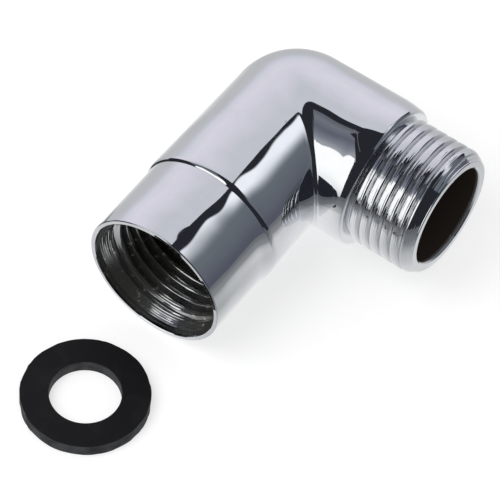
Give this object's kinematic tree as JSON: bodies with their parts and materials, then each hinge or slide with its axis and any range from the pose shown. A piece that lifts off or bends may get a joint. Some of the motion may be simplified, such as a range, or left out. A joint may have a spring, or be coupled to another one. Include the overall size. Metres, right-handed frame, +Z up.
{
  "type": "shower hose elbow adapter",
  "caption": "Right-angle shower hose adapter with an internally threaded socket, an externally threaded outlet and a loose rubber sealing washer.",
  "frame": {"origin": "centre of the socket's mouth, in the plane of its rim", "axes": "+X along the socket's axis into the fitting, -Y along the outlet's axis towards its free end, +Z up from the surface that the fitting lies on"},
  "size_m": [0.0738, 0.0395, 0.0238],
  "materials": {
    "chrome_plate": "polished chrome plate on brass",
    "black_rubber": "matt moulded rubber"
  },
  "bodies": {
    "root": {"elbow_body": "chrome_plate", "sealing_washer": "black_rubber"}
  },
  "joints": []
}
